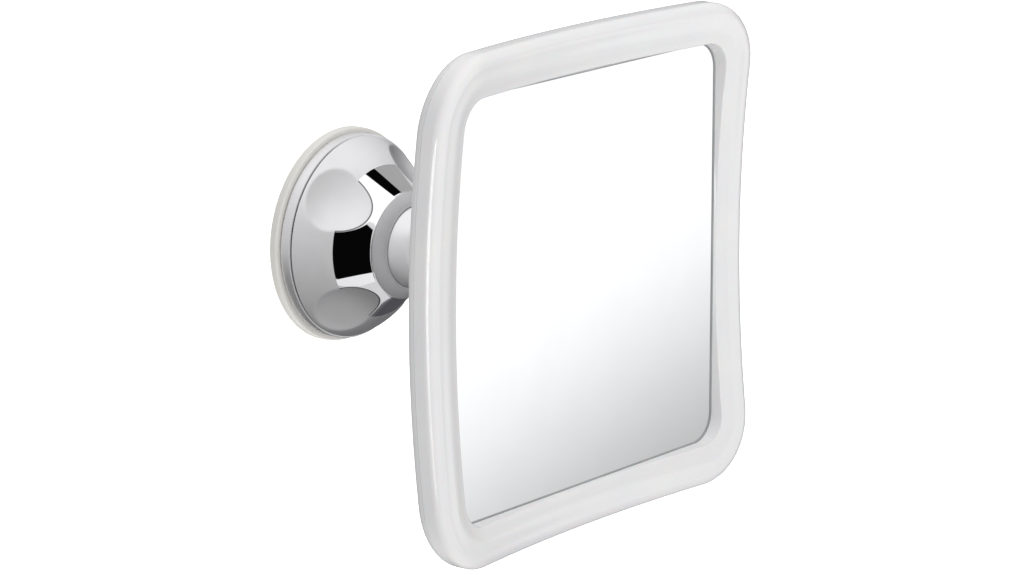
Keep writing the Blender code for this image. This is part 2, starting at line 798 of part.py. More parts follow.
def make_trim_ring(parent):
    inner = base_rim_radius + seat_gap
    profile = [(inner, base_foot), (trim_radius, base_foot), (trim_radius, trim_top - trim_bevel),
               (trim_radius - trim_bevel, trim_top), (trim_lip_inner, trim_top),
               (trim_lip_inner, trim_lip_bottom), (inner, trim_lip_bottom)]
    piece("trim_ring", turned(profile, bell_steps), parent, (0.80, 0.81, 0.83), 0.08, 1.0)


def make_suction_disc(parent):
    """The flat silicone disc, with the pocket that grips the stud's flange."""
    edge = disc_edge_round
    hole = stud_radius + seat_gap
    pocket = stud_flange_radius + seat_gap
    floor = stud_flange_height - seat_gap
    roof = stud_flange_height + stud_flange_thickness + seat_gap
    profile = [(0, 0), (disc_radius - edge / 2, 0), (disc_radius, edge / 2),
               (disc_radius, disc_thickness - edge), (disc_radius - edge, disc_thickness),
               (disc_boss_radius, disc_thickness), (disc_boss_radius, disc_boss_top),
               (hole, disc_boss_top), (hole, roof), (pocket, roof), (pocket, floor), (0, floor)]
    piece("suction_disc", turned(profile, bell_steps), parent, (0.83, 0.82, 0.79), 0.45)


def make_stud(parent):
    roof = stud_flange_height + stud_flange_thickness
    profile = [(0, stud_flange_height), (stud_flange_radius, stud_flange_height),
               (stud_flange_radius, roof), (stud_radius, roof),
               (stud_radius, stud_top - stud_bevel), (stud_radius - stud_bevel, stud_top),
               (0, stud_top)]
    stud = piece("lift_stud", turned(profile, hidden_steps), parent, (0.66, 0.66, 0.67), 0.35, 1.0)
    hole = cross_rod(pin_radius + seat_gap, stud_radius + overrun, pin_center)
    shaped_by(stud, "stud_pin_hole", hole, "DIFFERENCE")
    pin = cross_rod(pin_radius, pin_half_length, pin_center)
    piece("cross_pin", pin, parent, (0.60, 0.60, 0.61), 0.3, 1.0)


def flank(height):
    """Outer radius of the bell at a height, along the straight lines to its crease."""
    if height < knob_crease_height:
        share = (height - knob_rim) / knob_crease_rise
        return knob_rim_radius + (knob_crease_radius - knob_rim_radius) * share
    share = (height - knob_crease_height) / (knob_neck_height - knob_crease_height)
    return knob_crease_radius - knob_crease_step * share


def make_lock_knob(parent):
    """The bell: domed flank, hollow neck, inner ledge and four finger scoops."""
    rim = (knob_rim_radius, knob_rim + knob_rim_bevel)
    crease = (knob_crease_radius, knob_crease_height)
    neck = (knob_neck_radius, knob_neck_height)
    profile = [(knob_rim_inner, knob_rim), (knob_rim_radius - knob_rim_bevel, knob_rim), rim]
    profile += bulged(rim, crease, knob_dome_bulge, dome_shares)
    profile.append(crease)
    profile += bulged(crease, neck, -knob_neck_sag, neck_shares)
    profile += arc((knob_neck_radius - knob_top_round, knob_neck_height), knob_top_round,
                   0, right_angle, arc_steps)
    profile += [(knob_bore, knob_top), (knob_bore, ledge_top), (ledge_bore, ledge_top),
                (ledge_bore, ledge_bottom), (flank(ledge_bottom) - knob_wall, ledge_bottom),
                (flank(knob_core_height) - knob_wall, knob_core_height),
                (knob_rim_inner, knob_rim + knob_rim_depth)]
    knob = piece("lock_knob", turned(profile, bell_steps), parent, (0.82, 0.83, 0.85), 0.06, 1.0)
    angles = [scoop_first_angle + full_turn * index / scoop_count for index in range(scoop_count)]
    shaped_by(knob, "finger_scoops", gathered([scoop(angle) for angle in angles]), "DIFFERENCE")


def scoop(angle):
    """An egg-shaped body, its long way down the bell's flank and sunk in it by its depth."""
    drop = knob_neck_height - knob_crease_height
    slope = math.atan2(drop, knob_crease_step)
    stand = scoop_thickness / 2 - scoop_depth
    radius = knob_crease_radius + scoop_drop * math.cos(slope) + stand * math.sin(slope)
    height = knob_crease_height - scoop_drop * math.sin(slope) + stand * math.cos(slope)
    shape = bmesh.new()
    bmesh.ops.create_uvsphere(shape, u_segments=scoop_segments, v_segments=scoop_rings, radius=1)
    size = Matrix.Diagonal((scoop_length / 2, scoop_width / 2, scoop_thickness / 2, 1))
    pitch = Matrix.Rotation(slope + scoop_tilt, 4, "Y")
    place = Matrix.Translation((radius, 0, height))
    turn = Matrix.Rotation(angle, 4, "Z")
    bmesh.ops.transform(shape, verts=shape.verts, matrix=turn @ place @ pitch @ size)
    return shape


def ramp_height(angle):
    """How far the cam lifts the pin at an angle round the ring, twice in a turn."""
    local = angle % half_turn
    if local > lock_angle + cam_crest + cam_cliff / 2:
        return 0.0
    return lift_travel * min(1.0, local / lock_angle)


def cam_angles():
    crest = lock_angle + cam_crest
    valley = crest + cam_cliff
    ramp = [lock_angle * step / ramp_steps for step in range(ramp_steps + 1)]
    low = [valley + (half_turn - valley) * step / low_steps for step in range(1, low_steps)]
    half = ramp + [crest, valley] + low
    return half + [angle + half_turn for angle in half]


def make_lift_cam(parent):
    """The ring with two ramps that lift the cross pin as the bell turns."""
    web_outer = flank(cam_web_top) - knob_wall - seat_gap
    rings = []
    for angle in cam_angles():
        top = ramp_low + ramp_height(angle)
        section = [(cam_inner_radius, cam_floor), (cam_wall_outer, cam_floor),
                   (cam_wall_outer, cam_web_bottom), (web_outer, cam_web_bottom),
                   (web_outer, cam_web_top), (cam_wall_inner, cam_web_top),
                   (cam_wall_inner, top), (cam_inner_radius, top)]
        rings.append([(radius * math.cos(angle), radius * math.sin(angle), height)
                      for radius, height in section])
    piece("lift_cam", lofted(rings, True), parent, (0.75, 0.75, 0.70), 0.4)


def make_thrust_washer(parent):
    profile = [(ledge_bore, washer_bottom), (hub_shoulder_radius, washer_bottom),
               (hub_shoulder_radius, washer_bottom + washer_thickness),
               (ledge_bore, washer_bottom + washer_thickness)]
    piece("thrust_washer", turned(profile, hidden_steps), parent, (0.88, 0.88, 0.86), 0.5)


def main():
    clear_scene()
    stand = carrier("wall_frame")
    stand.rotation_euler = (right_angle, 0, 0)
    lock_axis = carrier("lock_axis", stand)
    lift_axis = carrier("lift_axis", stand)
    pan_axis = carrier("ball_pan_axis", stand, ball_center)
    tilt_axis = carrier("ball_tilt_axis", pan_axis)
    spin_axis = carrier("ball_spin_axis", tilt_axis)

    make_suction_disc(stand)
    make_base_plate(stand)
    make_trim_ring(stand)
    make_hub_post(stand)
    make_thrust_washer(stand)
    make_collar(stand)
    make_lock_knob(lock_axis)
    make_lift_cam(lock_axis)
    make_stud(lift_axis)
    make_friction_pieces(pan_axis, tilt_axis)
    make_neck(spin_axis)
    make_bezel(spin_axis)
    make_back_shell(spin_axis)
    make_pane(spin_axis)
    make_head_screws(spin_axis)


main()
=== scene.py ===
import math

import bmesh
import bpy
from mathutils import Matrix, Vector


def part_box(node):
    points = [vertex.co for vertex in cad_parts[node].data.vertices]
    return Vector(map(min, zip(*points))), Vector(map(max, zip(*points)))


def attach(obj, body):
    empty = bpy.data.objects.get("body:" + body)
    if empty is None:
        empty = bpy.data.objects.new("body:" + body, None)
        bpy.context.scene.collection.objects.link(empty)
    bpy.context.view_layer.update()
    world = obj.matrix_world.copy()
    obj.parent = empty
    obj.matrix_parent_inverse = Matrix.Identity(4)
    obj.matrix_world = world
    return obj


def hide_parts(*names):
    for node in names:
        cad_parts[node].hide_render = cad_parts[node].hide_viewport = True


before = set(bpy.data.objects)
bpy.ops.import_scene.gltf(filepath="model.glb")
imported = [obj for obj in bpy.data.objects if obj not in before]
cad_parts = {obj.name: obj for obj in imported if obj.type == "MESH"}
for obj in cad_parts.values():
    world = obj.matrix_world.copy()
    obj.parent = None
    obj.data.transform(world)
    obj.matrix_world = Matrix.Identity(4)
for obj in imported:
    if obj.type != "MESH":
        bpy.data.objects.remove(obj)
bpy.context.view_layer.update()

full_turn = 2 * math.pi
half_turn = math.pi
right_angle = math.pi / 2
sharp_angle = math.radians(35)
weld_distance = 1e-7
tiny = 1e-9

# Sizes are in metres in a bench frame: u to the right, v up the wall and l out from it.
# An inset is measured inwards from the head's outer edge, and a depth back from its dished face.

# The head as a whole.
reach = 0.124
window_half = 0.0805
frame_width = 0.0160
window_inset = 0.0164
outer_half = 0.0974
corner_radius = 0.0274
side_bow = 0.0005
dish_radius = 0.590
dish_base = reach + 0.0021 - 0.0814 ** 2 / (2 * dish_radius)
split_depth = 0.0093
seat_gap = 0.0003
parting_gap = 0.0001
side_steps = 18
corner_steps = 20
round_steps = 14

# Bezel.
front_round = 0.0050
lip_round = 0.0006
lip_steps = 6
crown_rise = 0.0004
crown_steps = 16
bezel_wall = 0.0022
pocket_inset = 0.0131
pocket_outer_inset = 0.0115
pocket_level = 0.1213
ledge_level = 0.1251

# Back shell.
rim_thickness = 0.0138
floor_depth = 0.0116
floor_steps = 12
floor_corner_share = 0.36
back_flat_inset = 0.010
back_round = 0.0045
tongue_inset = 0.0025
tongue_wall = 0.0014
tongue_height = 0.0028
pane_inset = 0.0134
pane_back = 0.122
pane_rib_wall = 0.0018
pad_radius = 0.0215
pad_face = 0.105485
pad_edge = 0.0005
post_place = 0.0839
post_seat_wall = 0.0016
recess_radius = 0.0027
recess_mouth_wide = 0.0003
recess_flare = 0.0004
recess_overrun = 0.001

# Case screws. The head's outline is in shares of its radius and its height.
screw_head_height = 0.0018
screw_head_outline = ((0.62, 0), (0.84, 0.15), (0.97, 0.42), (1, 0.65), (1, 1))
screw_crest = 0.0013
screw_core = screw_crest * 0.78
screw_pitch = screw_crest * 0.5
screw_count = 4
screw_first_turn = 48
screw_next_turn = 31
cross_arm_share = 0.56
cross_half_share = 0.12
cross_depth_share = 0.62
cross_mouth_scale = 1.05
cross_floor_scale = 0.55
cross_overrun = 0.0002

# Seal.
seal_low = 0.1243
seal_high = 0.12505
seal_edge = 0.0001

# Neck, ball and gasket.
ball_center = 0.0342
ball_radius = 0.0168
neck_radius = 0.0068
neck_waist = 0.0060
flange_flare = 0.0070
flange_radius = 0.0205
flange_back = 0.099085
flange_face = 0.104085
flange_edge = 0.0008
gasket_low = flange_face + 0.00003
gasket_high = flange_face + 0.00137
gasket_inner = 0.0150
gasket_swell_start = 0.0194

# Collar. Each lip point is so far in from the lip's outside and so far below its front.
bore_radius = 0.0170
collar_inner = 0.0183
collar_outer = 0.0193
collar_foot = 0.0269
collar_front = 0.0382
collar_crown = 0.0003
collar_lip_wall = 0.0008
collar_lip_start = 0.0002
collar_lip_points = ((0, 0.0003), (0.0001, 0.0001), (0.0003, 0), (0.0006, 0))
collar_socket_foot = 0.0339
collar_flange_radius = 0.0215
collar_flange_low = 0.0344
collar_flange_edge = 0.00025
collar_edge_turn = 0.6 * right_angle

# Suction disc.
disc_radius = 0.0432
disc_thickness = 0.0035
disc_edge = 0.0010
disc_rings = (0.0285, 0.0330, 0.0375)
disc_ring_half = 0.0004
disc_ring_depth = 0.0003
disc_boss_radius = 0.0090
disc_boss_top = 0.0056
disc_seam = 0.00015
disc_chamfer = 0.0004
stud_hole = 0.0048
stud_pocket = 0.0073
stud_pocket_floor = 0.0013
stud_pocket_roof = 0.0033

# Trim ring.
trim_radius = 0.0412
trim_bottom = 0.0041
trim_top = 0.0086
trim_inner = 0.0402
trim_lip_inner = 0.0381
trim_lip_bottom = 0.0078
trim_bevel = 0.0003
trim_foot_bevel = 0.0002

# Knob.
knob_steps = 480
knob_rim_inner = 0.0381
knob_rim_radius = 0.0405
knob_rim = 0.0089
knob_rim_bevel = 0.0003
knob_rim_rows = 3
knob_rim_depth = 0.0018
knob_crease_radius = 0.0307
knob_crease_height = 0.0216
knob_dome_bulge = 0.0008
knob_dome_rows = 52
knob_neck_radius = 0.0216
knob_neck_height = 0.0336
knob_neck_sag = 0.0003
knob_neck_rows = 54
knob_top_round = 0.0007
knob_bore = 0.0196
knob_bore_top = 0.0343
knob_ledge_bore = 0.0183
knob_ledge_top = 0.0266
knob_ledge_bottom = 0.0248
knob_wall = 0.0053
knob_wall_foot = 0.0129

# Finger scoops, and the polished lands between them.
scoop_count = 4
scoop_first_angle = math.radians(50.8)
scoop_half = (0.0180, 0.0247, 0.0100)
scoop_depth = 0.0030
scoop_drop = 0.0011
scoop_tilt = math.radians(-1.4)
scoop_edge = 0.0004
scoop_deepest = 0.006
scoop_halvings = 22
land_start = 0.0217
land_fade = 0.0001
land_edge = 0.0002

# Studio and camera. Angles are in degrees.
floor_half = 20
floor_level = -0.42
picture_width = 1021
view_azimuth = -51.473
view_elevation = 13.669
view_focus = 4140
view_distance = 1.583183
view_right = -0.029255
view_up = -0.003628
sensor = 36.0
head_middle = Vector((0, -reach, 0))


# Shapes.


def outline(half, radius, bow=0.0):
    """A square with round corners, whose sides can bow out."""
    flat = half - radius
    points = []
    for quarter in range(4):
        c, s = round(math.cos(quarter * right_angle)), round(math.sin(quarter * right_angle))
        side = [(half, flat * (2 * k / side_steps - 1)) for k in range(1, side_steps)]
        turn = [k * right_angle / corner_steps for k in range(corner_steps + 1)]
        side += [(flat + radius * math.cos(a), flat + radius * math.sin(a)) for a in turn]
        points += [(c * u - s * v, s * u + c * v) for u, v in side]
    return [(u * (1 + bow / half * (1 - (v / half) ** 2)),
             v * (1 + bow / half * (1 - (u / half) ** 2))) for u, v in points]


def rim_outline(inset):
    bow = side_bow * max(0, 1 - inset / window_inset)
    return outline(outer_half - inset, corner_radius - inset, bow)


def dish(u, v):
    """How far the head's dished face stands out from the wall."""
    return dish_base + (u ** 2 + v ** 2) / (2 * dish_radius)


def dished_ring(inset, depth):
    return [(u, v, dish(u, v) - depth) for u, v in rim_outline(inset)]


def level_ring(inset, level):
    return [(u, v, level) for u, v in rim_outline(inset)]


def floor_ring(share, depth):
    """A dished ring inside the window's outline, on the back shell's floor."""
    half = share * (outer_half - window_inset)
    return [(u, v, dish(u, v) - depth) for u, v in outline(half, half * floor_corner_share)]


def circle(radius, height, steps):
    """A ring of points about the l axis, or one point where the radius is nothing."""
    if radius < tiny:
        return [(0, 0, height)]
    angles = [full_turn * k / steps for k in range(steps)]
    return [(radius * math.cos(a), radius * math.sin(a), height) for a in angles]


def arc(center, radius, start, end, steps):
    angles = [start + (end - start) * k / steps for k in range(steps + 1)]
    return [(center[0] + radius * math.cos(a), center[1] + radius * math.sin(a)) for a in angles]


def bulged(start, end, bulge, steps):
    """Points between two ends, pushed out to the right of the way from one to the other."""
    across, along = end[0] - start[0], end[1] - start[1]
    length = math.hypot(across, along)
    points = []
    for k in range(1, steps):
        share = k / steps
        push = 4 * bulge * share * (1 - share)
        points.append((start[0] + across * share + push * along / length,
                       start[1] + along * share - push * across / length))
    return points


def made(name, verts, faces):
    """A mesh object from bench points; its faces are turned outwards."""
    mesh = bpy.data.meshes.new(name)
    mesh.from_pydata([(u, -l, v) for u, v, l in verts], [], faces)
    shape = bmesh.new()
    shape.from_mesh(mesh)
    bmesh.ops.remove_doubles(shape, verts=shape.verts, dist=weld_distance)
    bmesh.ops.recalc_face_normals(shape, faces=shape.faces)
    shape.to_mesh(mesh)
    shape.free()
    mesh.shade_smooth()
    mesh.set_sharp_from_angle(angle=sharp_angle)
    item = bpy.data.objects.new(name, mesh)
    bpy.context.scene.collection.objects.link(item)
    return item


def lofted(name, rings, closed=True):
    """A skin over rings of points; a ring of one point closes an end."""
    verts, starts = [], []
    for ring in rings:
        starts.append(len(verts))
        verts += ring
    pairs = list(range(len(rings) - 1)) + ([-1] if closed else [])
    faces = []
    for k in pairs:
        near, far = rings[k], rings[(k + 1) % len(rings)]
        a, b = starts[k], starts[(k + 1) % len(rings)]
        for i in range(max(len(near), len(far))):
            corners = []
            for base, ring, place in ((a, near, i - 1), (a, near, i), (b, far, i), (b, far, i - 1)):
                vertex = base + place % len(ring)
                if vertex not in corners:
                    corners.append(vertex)
            faces.append(corners)
    return made(name, verts, faces)


def turned(name, profile, steps=160, closed=True):
    """A (radius, height) outline turned about the l axis."""
    return lofted(name, [circle(radius, height, steps) for radius, height in profile], closed)


def shaped_by(target, tool, operation):
    """Join a tool to a piece, or cut it out, and keep the result."""
    modifier = target.modifiers.new("shape", "BOOLEAN")
    modifier.operation = operation
    modifier.solver = "EXACT"
    modifier.object = tool
    bpy.context.view_layer.objects.active = target
    bpy.ops.object.modifier_apply(modifier=modifier.name)
    bpy.data.objects.remove(tool, do_unlink=True)
    target.data.shade_smooth()
    target.data.set_sharp_from_angle(angle=sharp_angle)


# Materials. Noise scales are per metre, and bump depths are in metres.


class Look:
    """A node material with short ways to add the usual nodes."""

    def __init__(self, name):
        self.material = bpy.data.materials.new(name)
        self.material.use_nodes = True
        self.tree = self.material.node_tree
        self.shader = self.tree.nodes["Principled BSDF"]
        self.coordinates = self.tree.nodes.new("ShaderNodeTexCoord").outputs["Object"]

    def set(self, **values):
        for name, value in values.items():
            self.shader.inputs[name.replace("_", " ")].default_value = value
        return self

    def link(self, start, end):
        self.tree.links.new(start, end)

    def noise(self, scale, detail, roughness=0.5):
        node = self.tree.nodes.new("ShaderNodeTexNoise")
        node.inputs["Scale"].default_value = scale
        node.inputs["Detail"].default_value = detail
        node.inputs["Roughness"].default_value = roughness
        self.link(self.coordinates, node.inputs["Vector"])
        return node.outputs["Fac"]

    def spread(self, value, low, high, start=0.3, end=0.7):
        """A number that goes from low to high as a value goes from start to end."""
        node = self.tree.nodes.new("ShaderNodeMapRange")
        node.inputs["From Min"].default_value = start
        node.inputs["From Max"].default_value = end
        node.inputs["To Min"].default_value = low
        node.inputs["To Max"].default_value = high
        self.link(value, node.inputs["Value"])
        return node.outputs["Result"]

    def blend(self, value, low, high):
        """A colour that goes from low to high with a value."""
        node = self.tree.nodes.new("ShaderNodeMix")
        node.data_type = "RGBA"
        node.inputs["A"].default_value = (*low, 1)
        node.inputs["B"].default_value = (*high, 1)
        self.link(self.spread(value, 0, 1), node.inputs["Factor"])
        return node.outputs["Result"]

    def product(self, first, second):
        node = self.tree.nodes.new("ShaderNodeMath")
        node.operation = "MULTIPLY"
        self.link(first, node.inputs[0])
        self.link(second, node.inputs[1])
        return node.outputs["Value"]

    def mixed(self, value, before, colour):
        """What was before where a value is 0, and a colour where it is 1."""
        node = self.tree.nodes.new("ShaderNodeMix")
        node.data_type = "RGBA"
        self.link(value, node.inputs["Factor"])
        self.link(before, node.inputs["A"])
        node.inputs["B"].default_value = (*colour, 1)
        return node.outputs["Result"]

    def colour(self, value):
        self.link(value, self.shader.inputs["Base Color"])

    def rough(self, value, low, high):
        self.link(self.spread(value, low, high), self.shader.inputs["Roughness"])

    def bump(self, value, depth):
        node = self.tree.nodes.new("ShaderNodeBump")
        node.inputs["Strength"].default_value = 1.0
        node.inputs["Distance"].default_value = depth
        self.link(value, node.inputs["Height"])
        self.link(node.outputs["Normal"], self.shader.inputs["Normal"])


def plastic(name, colours, roughness, grain=900, depth=0.000004, **values):
    """A moulded finish: a cloudy colour, a drifting gloss and a fine grain."""
    look = Look(name).set(**values)
    look.colour(look.blend(look.noise(45, detail=3), *colours))
    look.rough(look.noise(160, detail=4), *roughness)
    look.bump(look.noise(grain, detail=2), depth)
    return look.material


def metal(name, colours, roughness, grain=500, depth=0.000002):
    """A plated or bare metal finish, with fine changes of gloss."""
    look = Look(name).set(Metallic=1.0)
    look.colour(look.blend(look.noise(60, detail=3), *colours))
    look.rough(look.noise(420, detail=5, roughness=0.6), *roughness)
    look.bump(look.noise(grain, detail=2), depth)
    return look.material


def bell_plating():
    """Bright on the lands between the scoops, satin elsewhere, with a thin dark line of painted
    shade along each scoop's edge.
    """
    look = Look("bell_plating").set(Metallic=1.0)
    marks = look.tree.nodes.new("ShaderNodeAttribute")
    marks.attribute_name = "outside_scoop"
    place = look.tree.nodes.new("ShaderNodeSeparateXYZ")
    look.link(look.coordinates, place.inputs[0])
    above = look.spread(place.outputs["Y"], 1, 0, -land_start - land_fade, -land_start)
    outside = look.spread(marks.outputs["Fac"], 0, 1, land_edge / 2, land_edge)
    rising = look.spread(marks.outputs["Fac"], 0, 1, -land_edge, 0)
    falling = look.spread(marks.outputs["Fac"], 1, 0, land_edge / 2, land_edge)
    land = look.product(above, outside)
    # Painted shade: this mask and the near-black colour two lines down draw a thin dark line along
    # each scoop's edge on the flank, where the crease would fall dark.
    line = look.product(above, look.product(rising, falling))
    plated = look.blend(look.noise(60, detail=3), (0.825, 0.825, 0.832), (0.875, 0.875, 0.881))
    look.colour(look.mixed(line, plated, (0.16, 0.16, 0.17)))
    fine = look.noise(420, detail=5, roughness=0.6)
    rough = look.tree.nodes.new("ShaderNodeMix")
    look.link(land, rough.inputs["Factor"])
    look.link(look.spread(fine, 0.36, 0.42), rough.inputs["A"])
    look.link(look.spread(fine, 0.0, 0.003), rough.inputs["B"])
    look.link(rough.outputs["Result"], look.shader.inputs["Roughness"])
    look.bump(look.noise(260, detail=2), 0.000002)
    return look.material


milky = plastic("milky_frame", ((0.83, 0.83, 0.84), (0.86, 0.855, 0.85)), (0.10, 0.16),
                Coat_Weight=0.4, Coat_Roughness=0.05, Subsurface_Weight=0.1,
                Subsurface_Scale=0.002)
shell = plastic("milky_shell", ((0.81, 0.81, 0.82), (0.84, 0.838, 0.835)), (0.18, 0.26),
                Coat_Weight=0.2, Coat_Roughness=0.12)
glass = metal("silvered_glass", ((0.93, 0.94, 0.94), (0.95, 0.955, 0.955)), (0.012, 0.03),
              grain=120, depth=0.0000002)
# The seal's grey is partly its own colour and partly painted shade, set dark to stand for the
# shadow gap round the pane.
seal_with_gap_shade = plastic("seal_line", ((0.34, 0.345, 0.35), (0.42, 0.425, 0.43)), (0.5, 0.65),
               grain=2500, depth=0.00001)
foam = plastic("foam_cells", ((0.62, 0.62, 0.60), (0.78, 0.78, 0.75)), (0.85, 0.95),
               grain=1800, depth=0.0001)
bell = bell_plating()
trim = metal("trim_plating", ((0.84, 0.84, 0.85), (0.89, 0.89, 0.90)), (0.26, 0.34),
             grain=260, depth=0.000002)
satin = metal("satin_plating", ((0.88, 0.88, 0.89), (0.93, 0.93, 0.94)), (0.28, 0.36),
              grain=1200, depth=0.000003)
collar_metal = metal("collar_plating", ((0.59, 0.59, 0.60), (0.64, 0.64, 0.65)), (0.52, 0.60),
                     grain=900, depth=0.000002)
steel = metal("screw_steel", ((0.52, 0.52, 0.53), (0.64, 0.64, 0.65)), (0.22, 0.38),
              grain=1500, depth=0.000006)
hub = plastic("hub_moulding", ((0.58, 0.59, 0.60), (0.64, 0.65, 0.66)), (0.35, 0.45))
cam = plastic("cam_moulding", ((0.66, 0.66, 0.61), (0.72, 0.72, 0.67)), (0.32, 0.42))
washer = plastic("washer_moulding", ((0.78, 0.78, 0.75), (0.84, 0.84, 0.82)), (0.4, 0.5))
silicone = plastic("silicone", ((0.79, 0.775, 0.73), (0.83, 0.815, 0.775)), (0.32, 0.42),
                   grain=700, depth=0.000008)
rubber = plastic("black_rubber", ((0.018, 0.018, 0.019), (0.035, 0.035, 0.036)), (0.55, 0.7),
                 grain=2200, depth=0.00001)

node_looks = {
    "mirror_pane": glass, "foam_pad": foam, "friction_pad": rubber, "hub_post": hub,
    "base_plate": hub, "lift_cam": cam, "thrust_washer": washer,
}
for name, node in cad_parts.items():
    node.data.materials.clear()
    node.data.materials.append(node_looks.get(name, steel))


def finished(piece, body, node, look):
    """Give a piece its material and body, and hide the CAD node that it stands for, if any."""
    piece.data.materials.clear()
    piece.data.materials.append(look)
    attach(piece, body)
    if node:
        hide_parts(node)


# The head.


def make_bezel():
    """The front frame. The pane shows no reflection of it, as in the photograph."""
    rings = [dished_ring(0, split_depth)]
    for inset, rise in arc((front_round, -front_round), front_round, half_turn, right_angle,
                           round_steps):
        rings.append(dished_ring(inset, -rise))
    lip_start = frame_width - lip_round
    for k in range(1, crown_steps):
        share = k / crown_steps
        inset = front_round + (lip_start - front_round) * share
        rings.append(dished_ring(inset, -crown_rise * math.sin(half_turn * share) ** 2))
    for inset, rise in arc((lip_start, -lip_round), lip_round, right_angle, 0, lip_steps):
        rings.append(dished_ring(inset, -rise))
    rings += [level_ring(window_inset, ledge_level), level_ring(pocket_inset, ledge_level),
              level_ring(pocket_inset, pocket_level), level_ring(pocket_outer_inset, pocket_level)]
    rings += [dished_ring(pocket_outer_inset, bezel_wall), dished_ring(front_round, bezel_wall),
              dished_ring(bezel_wall, front_round), dished_ring(bezel_wall, split_depth)]
    front = lofted("frame_front", rings)
    front.visible_glossy = False
    finished(front, "mirror_head", "frame_bezel", milky)


def make_shell():
    """The back of the head, with its tongue, the neck's pad and four screw recesses."""
    shares = [k / floor_steps for k in range(1, floor_steps)]
    rings = [[(0, 0, dish_base - rim_thickness)]]
    rings += [floor_ring(share, rim_thickness) for share in shares]
    rings += [dished_ring(window_inset, rim_thickness),
              dished_ring(back_flat_inset, rim_thickness)]
    for inset, rise in arc((back_round, -split_depth), back_round, 3 * right_angle, half_turn,
                           round_steps):
        rings.append(dished_ring(inset, -rise + (parting_gap if inset < tiny else 0)))
    inner = tongue_inset + tongue_wall
    rings += [dished_ring(tongue_inset, split_depth + parting_gap),
              dished_ring(tongue_inset, split_depth - tongue_height),
              dished_ring(inner, split_depth - tongue_height),
              dished_ring(inner, floor_depth - back_round / 2),
              dished_ring(back_round + tongue_wall, floor_depth),
              dished_ring(pane_inset, floor_depth)]
    rings += [level_ring(pane_inset, pane_back - seat_gap),
              level_ring(pane_inset + pane_rib_wall, pane_back - seat_gap),
              dished_ring(pane_inset + pane_rib_wall, floor_depth)]
    rings += [floor_ring(share, floor_depth) for share in reversed(shares)]
    rings.append([(0, 0, dish_base - floor_depth)])
    back = lofted("shell_back", rings, closed=False)

    middle = dish_base - (rim_thickness + floor_depth) / 2
    pad = turned("pad", [(0, pad_face), (pad_radius - pad_edge, pad_face),
                         (pad_radius, pad_face + pad_edge), (pad_radius, middle), (0, middle)],
                 steps=128, closed=False)
    shaped_by(back, pad, "UNION")

    post_dish = dish_base + post_place ** 2 / dish_radius
    mouth = post_dish - rim_thickness
    seat = post_dish - floor_depth + post_seat_wall
    profile = [(0, mouth - recess_overrun), (recess_radius + recess_flare, mouth - recess_overrun),
               (recess_radius + recess_mouth_wide, mouth), (recess_radius, mouth + recess_flare),
               (recess_radius, seat), (0, seat)]
    for u in (-post_place, post_place):
        for v in (-post_place, post_place):
            recess = turned("recess", profile, steps=48, closed=False)
            recess.data.transform(Matrix.Translation((u, 0, v)))
            shaped_by(back, recess, "DIFFERENCE")
    finished(back, "mirror_head", "back_shell", shell)


def cross_tool(head, top):
    """What cuts the cross in a screw's head: a cross that narrows as it goes in."""
    arm, half = head * cross_arm_share, head * cross_half_share
    cross = [(arm, -half), (arm, half), (half, half), (half, arm), (-half, arm), (-half, half),
             (-arm, half), (-arm, -half), (-half, -half), (-half, -arm), (half, -arm),
             (half, -half)]
    mouth, bottom = top - cross_overrun, top + cross_depth_share * screw_head_height
    rings = [[(0, 0, mouth)]]
    for level, scale in ((mouth, cross_mouth_scale), (bottom, cross_floor_scale)):
        rings.append([(u * scale, v * scale, level) for u, v in cross])
    rings.append([(0, 0, bottom + cross_overrun)])
    return lofted("cross", rings, closed=False)


def make_case_screws():
    """Pan-head screws with a cross in the head, one in each rear corner of the shell."""
    for index in range(screw_count):
        node = f"case_screw_{index + 1}"
        low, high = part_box(node)
        u, v = (low[0] + high[0]) / 2, (low[2] + high[2]) / 2
        tip, top = -low[1], -high[1]
        head = (high[0] - low[0]) / 2
        seat = top + screw_head_height
        profile = [(0, top)]
        profile += [(head * across, top + along * screw_head_height)
                    for across, along in screw_head_outline]
        profile.append((screw_core, seat))
        level = seat + screw_pitch
        while level < tip - 2 * screw_pitch:
            profile += [(screw_core, level), (screw_crest, level + screw_pitch / 2),
                        (screw_core, level + screw_pitch)]
            level += screw_pitch
        profile += [(screw_core, tip - screw_pitch), (0, tip)]
        screw = turned("cross_" + node, profile, steps=40, closed=False)
        shaped_by(screw, cross_tool(head, top), "DIFFERENCE")
        turn = Matrix.Rotation(math.radians(screw_first_turn + screw_next_turn * index), 4, "Y")
        screw.data.transform(Matrix.Translation((u, 0, v)) @ turn)
        finished(screw, "mirror_head", node, steel)


def make_seal():
    """The thin seal round the pane; its grey is partly its own colour and partly painted shade for
    the gap round the pane. The pane shows no reflection of it, as in the photograph.
    """
    inner = outer_half - window_half
    middle = (inner + pane_inset) / 2
    rings = [level_ring(inner, seal_low), level_ring(inner, seal_high - seal_edge),
             level_ring(inner - seal_edge, seal_high), level_ring(middle, seal_high),
             level_ring(pane_inset, seal_high), level_ring(pane_inset, seal_low)]
    line = lofted("seal_line", rings)
    line.visible_glossy = False
    finished(line, "mirror_head", "pane_seal", seal_with_gap_shade)


def make_neck():
    meet = math.asin(neck_radius / ball_radius)
    profile = arc((0, ball_center), ball_radius, -right_angle, right_angle - meet, steps=48)
    profile[0] = (0, ball_center - ball_radius)
    profile += arc((neck_waist + flange_flare, flange_back - flange_flare), flange_flare,
                   half_turn, right_angle, steps=16)
    profile += arc((flange_radius - flange_edge, flange_back + flange_edge), flange_edge,
                   -right_angle, 0, steps=5)
    profile += [(flange_radius, flange_face), (0, flange_face)]
    finished(turned("ball_and_neck", profile, closed=False), "mirror_head", "ball_neck",
             satin)


